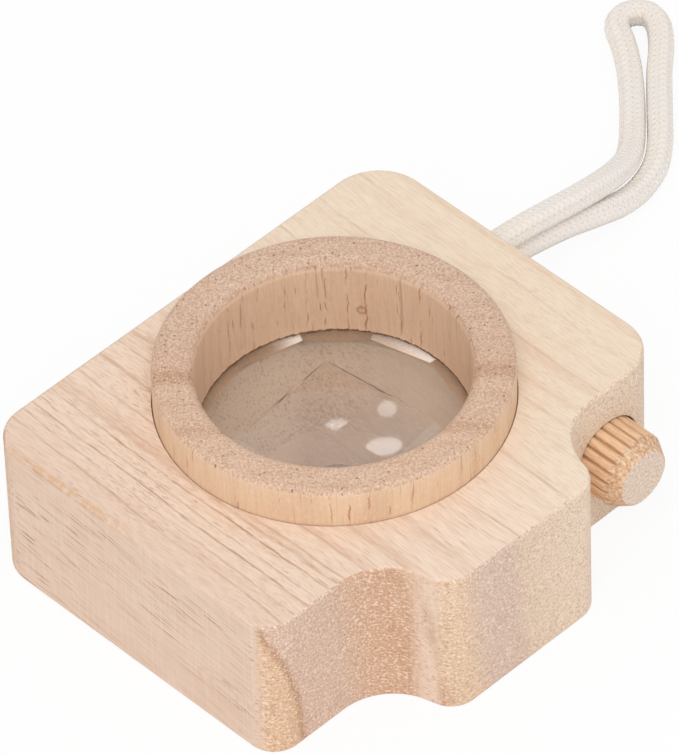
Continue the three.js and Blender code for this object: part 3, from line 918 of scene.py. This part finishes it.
def dowel_wood(name, fluted):
    nodes = material_nodes(name)
    grain = wood_coordinates(nodes, (math.radians(90), 0, 0))
    facing_out = abs(nodes.normal()[1])
    rough_cut = facing_out.ramp(*DOWEL_TIP_SLOPE)
    fibre = nodes.noise(grain, DOWEL_FIBRE)
    crumbs = nodes.noise(grain, DOWEL_CRUMBS)
    colour = nodes.mix(rough_cut, fibre.colours(DOWEL_LONG_STOPS), crumbs.colours(DOWEL_TIP_STOPS))
    end_grain = facing_out.ramp(*DOWEL_END_SLOPE)
    nodes.colour = nodes.mix(end_grain, colour, crumbs.colours(DOWEL_END_STOPS))
    nodes.paint(DOWEL_PORES, nodes.pattern(grain, DOWEL_PORES))
    if fluted:
        # Painted shade in the flutes' hollows
        x, _, z = nodes.split(nodes.millimetres())
        from_axis = nodes.length(x - button_axis.x / MM, z - button_axis.z / MM)
        groove = (button_radius / MM - from_axis).ramp(*DOWEL_GROOVE_DEPTHS)
        nodes.paint(DOWEL_GROOVE_SHADE, groove * (1.0 - rough_cut))
    return finish_wood(nodes, DOWEL_ROUGHNESS, nodes.mix(rough_cut, fibre, crumbs))


def clear_acrylic():
    nodes = material_nodes("clear_acrylic")
    haze = nodes.pattern(nodes.millimetres(), CLEAR_HAZE)
    nodes.surface(**ACRYLIC, **CLEAR, Roughness=haze * CLEAR_SMEAR + CLEAR_ROUGHNESS)
    return nodes.owner


def scuffed_acrylic():
    """The lens's dish, polished but with a fine haze."""
    nodes = material_nodes("scuffed_acrylic")
    grit = nodes.noise(nodes.millimetres(), GRIT)
    nodes.surface(**ACRYLIC, **SCUFFED, Base_Color=grit.colours(SCUFF_STOPS))
    nodes.surface(Roughness=grit * SCUFF_GRIT + SCUFF_ROUGHNESS)
    return nodes.owner


def ground_acrylic_painted_light():
    """The lens's bevels, left unpolished. A painted glow stands for light that the lens pipes to them, and
    two pale strips of stronger glow are painted highlights.
    """
    nodes = material_nodes("ground_acrylic_painted_light")
    from_x, from_y, _ = nodes.from_lens_axis()
    angle = nodes.math("ARCTAN2", from_y, from_x) * math.degrees(1)
    outside, inside = HIGHLIGHT_EDGE
    # Painted highlight strips at the listed angles round the lens
    highlight = 0.0
    for bright_end, dim_end, least in PAINTED_HIGHLIGHT_STRIPS:
        fading = angle.ramp(dim_end, bright_end).at_least(least)
        low, high = sorted((bright_end, dim_end))
        past_low = angle.ramp(low - outside, low + inside)
        before_high = angle.ramp(high + outside, high - inside)
        highlight = (fading * past_low * before_high).most(highlight)
    grit = nodes.noise(nodes.millimetres(), GRIT)
    colour = nodes.mix(highlight, grit.colours(GROUND_STOPS), grit.colours(HIGHLIGHT_STOPS))
    glow = highlight * (HIGHLIGHT_GLOW - GROUND_PAINTED_GLOW) + GROUND_PAINTED_GLOW
    nodes.surface(**ACRYLIC, **GROUND, Base_Color=colour, Emission_Color=colour, Emission_Strength=glow)
    nodes.surface(Transmission_Weight=GROUND_CLEARNESS - highlight * HIGHLIGHT_CLEARNESS_LOST)
    nodes.surface(Roughness=grit * GROUND_GRIT + GROUND_ROUGHNESS)
    return nodes.owner


def spring_steel():
    nodes = material_nodes("spring_steel")
    drawn = nodes.noise(nodes.millimetres(), STEEL_DRAWN)
    nodes.surface(Base_Color=drawn.colours(STEEL_STOPS), Metallic=1.0)
    nodes.surface(Roughness=drawn * STEEL_GRIT + STEEL_ROUGHNESS)
    nodes.bump(drawn, *STEEL_RELIEF)
    return nodes.owner


def cotton():
    nodes = material_nodes("cotton")
    mm = nodes.millimetres()
    fibres = nodes.noise(mm, COTTON_FIBRES)
    nodes.colour = nodes.noise(mm, COTTON_TINT).colours(COTTON_STOPS)
    nodes.paint(COTTON_FIBRES, fibres.ramp(*COTTON_FIBRES.levels))
    nodes.surface(Base_Color=nodes.colour, **COTTON)
    nodes.bump(fibres, *COTTON_RELIEF)
    return nodes.owner


pin_wood = dowel_wood("plain_dowel", False)


# Camera body

def block_corners():
    crest = HUMP_CREST_WIDTH / 2
    grip_shoulder = body_high.y - HUMP_RISE_GRIP
    strap_shoulder = body_high.y - HUMP_RISE_STRAP
    grip_foot = crest + HUMP_RISE_GRIP * math.tan(HUMP_WALL_LEAN)
    strap_foot = crest + HUMP_RISE_STRAP * math.tan(HUMP_WALL_LEAN)
    return (
        (body_low.x, body_low.y, BASE_CORNER_STRAP),
        (body_high.x, body_low.y, BASE_CORNER_GRIP),
        (body_high.x, grip_shoulder, SHOULDER_CORNER_GRIP),
        (HUMP_SHIFT + grip_foot, grip_shoulder, HUMP_FOOT_ROUND),
        (HUMP_SHIFT + crest, body_high.y, HUMP_CREST_ROUND),
        (HUMP_SHIFT - crest, body_high.y, HUMP_CREST_ROUND),
        (HUMP_SHIFT - strap_foot, strap_shoulder, HUMP_FOOT_ROUND),
        (body_low.x, strap_shoulder, SHOULDER_CORNER_STRAP),
    )


def seat_cutter():
    eyepiece = EYEPIECE_BORE / 2
    seat = ring_radius + RING_CLEARANCE
    seat_floor = ring_low.z - SEAT_GAP
    profile = (
        (eyepiece + EYEPIECE_FLARE + PAST, -PAST),
        (eyepiece, EYEPIECE_FLARE),
        (eyepiece, WELL_FLOOR),
        (WELL_FLOOR_BORE / 2, WELL_FLOOR),
        (WELL_BORE / 2, seat_floor),
        (seat, seat_floor),
        (seat, body_high.z - SEAT_EDGE),
        (seat + SEAT_EDGE + PAST, body_high.z + PAST),
    )
    return turned(profile, RING_FACETS, lens_place)


def shutter_cutters():
    place = along_y(button_axis.x, button_axis.z)
    floor = button_low.y - SHUTTER_DEEP
    return [
        drill(button_radius + SHUTTER_CLEARANCE, floor, body_high.y, SHUTTER_BORE_SIDES, place),
        drill(SPRING_POCKET, floor - SPRING_POCKET_DEPTH, floor + PAST, SPRING_POCKET_SIDES, place),
        drill(button_pin_radius + PIN_FIT, -PAST, button_axis.z, PIN_SIDES, button_pin_place),
    ]


def strap_cutter():
    place = Matrix.Translation(strap_mouth) @ Matrix.Rotation(math.pi / 2, 4, "Y")
    radius = STRAP_BORE / 2
    profile = (
        (radius + STRAP_BORE_EDGE + PAST, -PAST),
        (radius, STRAP_BORE_EDGE),
        (radius, STRAP_BORE_DEPTH),
    )
    return turned(profile, STRAP_BORE_SIDES, place)


def ring_pin(node):
    """A ring pin's radius, the heights of its ends and the matrix that puts it in place."""
    low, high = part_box(node)
    place = along_y((low.x + high.x) / 2, (low.z + high.z) / 2)
    return (high.x - low.x) / 2, low.y, high.y, place


def ring_pin_cutter(node):
    radius, _, end, place = ring_pin(node)
    return drill(radius + PIN_FIT, body_low.y - PAST, end + PIN_HOLE_PAST, PIN_SIDES, place)


def make_body():
    outline = rounded_outline(block_corners())
    back = quarter((-BACK_ROUND, body_low.z + BACK_ROUND), BACK_ROUND, -math.pi / 2)
    front = quarter((-FRONT_ROUND, body_high.z - FRONT_ROUND), FRONT_ROUND, 0)
    loops = []
    for across, height in [*back, *front]:
        points = [point + normal * across for point, normal in outline]
        loops.append([Vector((point.x, point.y, height)) for point in points])
    piece = new_piece("wooden_block", loft(loops), body_wood(), "camera", "camera_body")
    cut(piece, [seat_cutter(), *shutter_cutters(), strap_cutter()])
    cut(piece, [ring_pin_cutter("ring_pin_grip"), ring_pin_cutter("ring_pin_strap")])
    smooth(piece, WOOD_SMOOTH)


# Lens ring and lens

def make_ring():
    bore = RING_BORE / 2
    rebate = LENS_REBATE / 2
    rebate_z = ring_high.z - RING_BORE_DEPTH
    groove = ring_radius - GROOVE_DEPTH
    pin_low, pin_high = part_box("ring_pin_grip")
    groove_z = (pin_low.z + pin_high.z) / 2
    foot = (ring_radius - RING_FOOT_ROUND, ring_low.z + RING_FOOT_ROUND)
    outer = (ring_radius - RING_OUTER_ROUND, ring_high.z - RING_OUTER_ROUND)
    inner = (bore + RING_INNER_ROUND, ring_high.z - RING_INNER_ROUND)
    profile = [
        (rebate, ring_low.z),
        *quarter(foot, RING_FOOT_ROUND, -math.pi / 2, RING_FOOT_STEPS),
        (ring_radius, groove_z - GROOVE_HALF),
        (groove, groove_z - GROOVE_HALF),
        (groove, groove_z + GROOVE_HALF),
        (ring_radius, groove_z + GROOVE_HALF),
        *quarter(outer, RING_OUTER_ROUND, 0),
        *quarter(inner, RING_INNER_ROUND, math.pi / 2),
        (bore, rebate_z + TORN_REACH),
        (bore, rebate_z),
        (rebate, rebate_z),
    ]
    torn = len(profile) - 2
    loops = []
    for i, (radius, height) in enumerate(profile):
        loop = [lens_place @ point for point in circle(radius, height, RING_FACETS)]
        if i == torn:
            for point in loop:
                point.z += TORN_EDGE * sum(noise.noise(point / size) for size in TORN_SIZES)
        loops.append(loop)
    bm = loft(loops, closed=True)
    piece = new_piece("turned_ring", bm, ring_wood(), "lens", "lens_ring")
    smooth(piece, WOOD_SMOOTH)


def dish_points():
    """The dish in the lens's front: its lowest point, and the middles and corners of a square's sides."""
    spin = Matrix.Rotation(LENS_SPIN, 4, "Z")
    rim = lens_low.z + LENS_GIRDLE + LENS_BEVEL_RISE + LENS_CROWN_RISE
    half = LENS_SQUARE / 2
    found = {}
    for i in (-1, 0, 1):
        for j in (-1, 0, 1):
            height = rim - LENS_DISH * (1 - (abs(i) + abs(j)) / 2)
            found[i, j] = lens_place @ spin @ Vector((i * half, j * half, height))
    return found


def dish_cutter():
    """Four facets that meet at the lowest point, with sides that flare out past the lens."""
    points = dish_points()
    top = max(point.z for point in points.values()) + PAST
    spin = Matrix.Rotation(LENS_SPIN + math.pi / 4, 4, "Z")
    flared = circle((LENS_SQUARE / 2 + LENS_DISH_FLARE) * math.sqrt(2), top, 4)
    bm = hull([*points.values(), *(lens_place @ spin @ corner for corner in flared)])
    bmesh.ops.recalc_face_normals(bm, faces=bm.faces)
    return bm


def finish_facets(piece):
    """Gives the lens's square dish a scuffed finish, and its bevels a ground one with painted light."""
    scuffed = scuffed_acrylic()
    ground = ground_acrylic_painted_light()
    piece.data.materials.append(scuffed)
    piece.data.materials.append(ground)
    slots = list(piece.data.materials)
    bevel_from = LENS_REBATE / 2 - 2 * LENS_BEVEL_WIDTH
    dish_half = LENS_SQUARE / 2 + LENS_DISH_FLARE / 2
    front = lens_low.z + LENS_GIRDLE
    unspin = Matrix.Rotation(-LENS_SPIN, 2)
    for polygon in piece.data.polygons:
        if polygon.center.z <= front:
            continue
        from_axis = (polygon.center - lens_axis).to_2d()
        if from_axis.length > bevel_from and polygon.normal.z < math.cos(BEVEL_LEAST_SLOPE):
            polygon.material_index = slots.index(ground)
        elif max(abs(share) for share in unspin @ from_axis) < dish_half:
            polygon.material_index = slots.index(scuffed)


def make_lens():
    girdle = (lens_high.x - lens_low.x) / 2
    girdle_z = lens_low.z + LENS_GIRDLE
    bevel_z = girdle_z + LENS_BEVEL_RISE
    corner_turn = Matrix.Rotation(LENS_SPIN + math.pi / 4, 4, "Z")
    square = circle(LENS_SQUARE / math.sqrt(2), bevel_z + LENS_CROWN_RISE, 4)
    points = [
        *circle(girdle, lens_low.z, LENS_SIDES),
        *circle(girdle, girdle_z, LENS_SIDES),
        *circle(girdle - LENS_BEVEL_WIDTH, bevel_z, LENS_SIDES),
        *(corner_turn @ point for point in square),
    ]
    bm = hull([lens_place @ point for point in points])
    bmesh.ops.dissolve_limit(bm, angle_limit=LENS_FLAT, verts=bm.verts, edges=bm.edges)
    bmesh.ops.recalc_face_normals(bm, faces=bm.faces)
    piece = new_piece("prism_lens", bm, clear_acrylic(), "lens", "kaleidoscope_lens")
    cut(piece, [dish_cutter()])
    finish_facets(piece)
    edge = piece.modifiers.new("polished_edge", "BEVEL")
    edge.width = LENS_EDGE
    edge.segments = LENS_EDGE_STEPS
    edge.limit_method = "ANGLE"
    edge.angle_limit = LENS_EDGE_LEAST


# Pins, shutter button and spring

def make_pin(name, node, radius, start, end, place):
    profile = (
        (radius - PIN_CHAMFER, start),
        (radius, start + PIN_CHAMFER),
        (radius, end - PIN_CHAMFER),
        (radius - PIN_CHAMFER, end),
    )
    bm = turned(profile, PIN_SIDES, place)
    smooth(new_piece(name, bm, pin_wood, "camera", node), PIN_SMOOTH)


def fluted_radius(angle):
    """The dowel's radius round its section: lands with rounded flutes between them."""
    swing = 0.5 + 0.5 * math.cos(angle * FLUTE_COUNT)
    return button_radius - FLUTE_DEPTH * swing ** FLUTE_SHARPNESS


def keyway_cutter():
    """The slot in the button's back side in which the pin runs."""
    outline = []
    for middle, start in ((button_pin_axis.y + SHUTTER_TRAVEL, 0.0), (button_pin_axis.y, math.pi)):
        for k in range(KEYWAY_STEPS + 1):
            angle = start + math.pi * k / KEYWAY_STEPS
            across = button_axis.x + KEYWAY_HALF * math.cos(angle)
            outline.append((across, middle + KEYWAY_HALF * math.sin(angle)))
    back = button_axis.z - button_radius
    heights = (back - PAST, back + KEYWAY_DEPTH)
    return loft([[Vector((x, y, z)) for x, y in outline] for z in heights])


def make_button():
    length = button_high.y - button_low.y
    heights = [(0.0, button_radius - SHUTTER_FOOT_CHAMFER), (SHUTTER_FOOT_CHAMFER, button_radius)]
    for step in range(SHUTTER_TIP_STEPS):
        share = step / SHUTTER_TIP_STEPS
        height = length - SHUTTER_TIP_LENGTH * (1 - share)
        heights.append((height, button_radius - SHUTTER_TIP_TAPER * share))
    heights.append((length, button_radius - SHUTTER_TIP_TAPER - SHUTTER_TIP_ROUND))
    loops = []
    for height, cone in heights:
        loop = []
        for angle in full_turn(FLUTE_COUNT * FLUTE_POINTS):
            radius = min(fluted_radius(angle), cone)
            loop.append(Vector((radius * math.cos(angle), radius * math.sin(angle), height)))
        loops.append(loop)
    bm = loft(loops)
    place = Matrix.Translation((0, button_low.y, 0)) @ along_y(button_axis.x, button_axis.z)
    bmesh.ops.transform(bm, matrix=place, verts=bm.verts)
    fluted = dowel_wood("fluted_dowel", True)
    piece = new_piece("fluted_button", bm, fluted, "shutter", "shutter_button")
    cut(piece, [keyway_cutter()])
    smooth(piece, FINE_SMOOTH)


def make_spring():
    radius = (spring_high.x - spring_low.x - SPRING_WIRE) / 2
    foot = spring_low.y + SPRING_WIRE / 2
    rise = spring_high.y - SPRING_WIRE / 2 - foot
    steps = SPRING_TURNS * SPRING_TURN_STEPS
    line = []
    for i in range(steps + 1):
        angle = 2 * math.pi * SPRING_TURNS * i / steps
        x = button_axis.x + radius * math.cos(angle)
        z = button_axis.z + radius * math.sin(angle)
        line.append(Vector((x, foot + rise * i / steps, z)))
    bm = loft(tube(line, SPRING_WIRE / 2, SPRING_WIRE_SIDES))
    piece = new_piece("coil_spring", bm, spring_steel(), "camera", "shutter_spring")
    smooth(piece, FINE_SMOOTH)
    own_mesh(piece)


# Strap cord

def yarn(frames, start, hand):
    """One yarn of the braid: a flat oval section on a helix that dips under every second crossing."""
    half_width = YARN_WIDTH / 2 / math.cos(YARN_SLANT)
    loops = []
    for i, (point, side, other) in enumerate(frames):
        turn = hand * 2 * math.pi * i * CORD_STEP / BRAID_PITCH
        angle = start + turn
        crossing = BRAID_YARNS * turn * hand
        phase = crossing / 2 + start * BRAID_YARNS / 2 + (math.pi if hand < 0 else 0)
        depth = BRAID_RADIUS + YARN_WEAVE * math.sin(phase)
        out = math.cos(angle) * side + math.sin(angle) * other
        around = -math.sin(angle) * side + math.cos(angle) * other
        loop = []
        for t in full_turn(YARN_SIDES):
            height = depth + YARN_THICKNESS / 2 * math.sin(t)
            loop.append(point + out * height + around * (half_width * math.cos(t)))
        loops.append(loop)
    return loops


def make_cord():
    route = smooth_route([Vector(point) * MM for point in CORD_ROUTE_MM], CORD_STEP)
    frames = carried_frames(route)
    bm = loft(tube(route, BRAID_CORE, BRAID_CORE_SIDES))
    for hand in (1, -1):
        for start in full_turn(BRAID_YARNS):
            strand = mesh_of("yarn", loft(yarn(frames, start, hand)))
            bm.from_mesh(strand)
            bpy.data.meshes.remove(strand)
    piece = new_piece("braided_cord", bm, cotton(), "camera", "strap_cord")
    for polygon in piece.data.polygons:
        polygon.use_smooth = True
    length = sum((b - a).length for a, b in zip(route, route[1:]))


# Camera, world, floor and lamps

def make_camera():
    """A camera at the picture's angle, aimed by its own tilt at the middle of the block's front."""
    aim = Vector((lens_axis.x, lens_axis.y, body_high.z))
    flat = math.cos(VIEW_ELEVATION)
    back_x = math.sin(VIEW_AZIMUTH) * flat
    back_y = -math.cos(VIEW_AZIMUTH) * flat
    back = Vector((back_x, back_y, math.sin(VIEW_ELEVATION)))
    level = Vector((math.cos(VIEW_AZIMUTH), math.sin(VIEW_AZIMUTH), 0))
    plumb = back.cross(level)
    right = math.cos(VIEW_ROLL) * level + math.sin(VIEW_ROLL) * plumb
    up = -math.sin(VIEW_ROLL) * level + math.cos(VIEW_ROLL) * plumb
    place = aim + back * VIEW_DISTANCE + right * VIEW_SIDEWAYS + up * VIEW_UPWARDS
    lens = bpy.data.cameras.new("picture")
    lens.sensor_fit = "VERTICAL"
    lens.sensor_height = SENSOR_MM
    lens.lens = FOCAL_PX / PICTURE_HEIGHT_PX * SENSOR_MM
    lens.clip_start = CLIP_START
    lens.clip_end = CLIP_END
    camera = put("picture", lens)
    turn = Matrix((right, up, back)).transposed().to_4x4()
    camera.matrix_world = Matrix.Translation(place) @ turn
    bpy.context.scene.camera = camera


def seen_directly(nodes):
    """1 for rays from the camera, off a gloss or through glass, and 0 for the light that falls on things."""
    camera = nodes.add("LightPath", "Is Camera Ray", {})
    return camera.most(camera.beside("Is Glossy Ray")).most(camera.beside("Is Transmission Ray"))


def make_world():
    world = bpy.data.worlds.new("studio")
    bpy.context.scene.world = world
    nodes = Nodes(world)
    nodes.feed(nodes.tree.nodes["Background"], {"Color": WHITE, "Strength": SKY_STRENGTH})
    shown = nodes.add("Background", 0, {"Color": WHITE})
    nodes.show_mix(seen_directly(nodes), "Background", shown, "World Output")


def make_floor():
    mesh = bpy.data.meshes.new("floor")
    half = FLOOR_SIZE / 2
    corners = [(-half, -half, 0), (half, -half, 0), (half, half, 0), (-half, half, 0)]
    mesh.from_pydata(corners, [], [(0, 1, 2, 3)])
    nodes = material_nodes("white_floor")
    nodes.surface(Base_Color=FLOOR_COLOUR, Roughness=FLOOR_ROUGHNESS, Specular_IOR_Level=0.0)
    glow = nodes.add("Emission", 0, {})
    nodes.show_mix(seen_directly(nodes) * FLOOR_GLOW, "Principled BSDF", glow, "Material Output")
    mesh.materials.append(nodes.owner)
    put("floor", mesh)


def make_lamp(name, shape, size, power, place, toward):
    """An area lamp at a place, with its back toward a direction."""
    light = bpy.data.lights.new(name, "AREA")
    light.shape = shape
    light.size, light.size_y = size
    light.energy = power
    lamp = put(name, light)
    turn = toward.to_track_quat("Z", "Y").to_matrix().to_4x4()
    lamp.matrix_world = Matrix.Translation(place) @ turn


def make_catch_light(name, facet, at, size, radiance):
    """A small lamp whose mirror image in one facet of the lens is at a place on it, given in millimetres."""
    grid = dish_points()
    i, j = facet
    apex = grid[0, 0]
    across = grid[i, 0] - apex
    along = grid[0, j] - apex
    normal = across.cross(along).normalized()
    if normal.z < 0:
        normal = -normal
    half = LENS_SQUARE / 2
    point = apex + across * (at[0] * MM * i / half) + along * (at[1] * MM * j / half)
    view = (bpy.context.scene.camera.matrix_world.translation - point).normalized()
    toward = 2 * normal.dot(view) * normal - view
    power = radiance * math.pi * math.pi / 4 * size[0] * size[1]
    make_lamp(name, "ELLIPSE", size, power, point + toward, toward)


make_camera()
make_cord()
make_body()
make_ring()
make_lens()
make_pin("grip_side_pin", "ring_pin_grip", *ring_pin("ring_pin_grip"))
make_pin("strap_side_pin", "ring_pin_strap", *ring_pin("ring_pin_strap"))
make_button()
make_pin("button_pin", "shutter_pin", *button_pin)
make_spring()
make_world()
make_floor()
for catch_light in CATCH_LIGHTS:
    make_catch_light(*catch_light)
key_toward = Vector(KEY_TOWARD).normalized()
make_lamp("key", "RECTANGLE", KEY_SIZE, KEY_POWER, key_toward * KEY_DISTANCE, key_toward)

bpy.context.scene.view_settings.view_transform = "Standard"
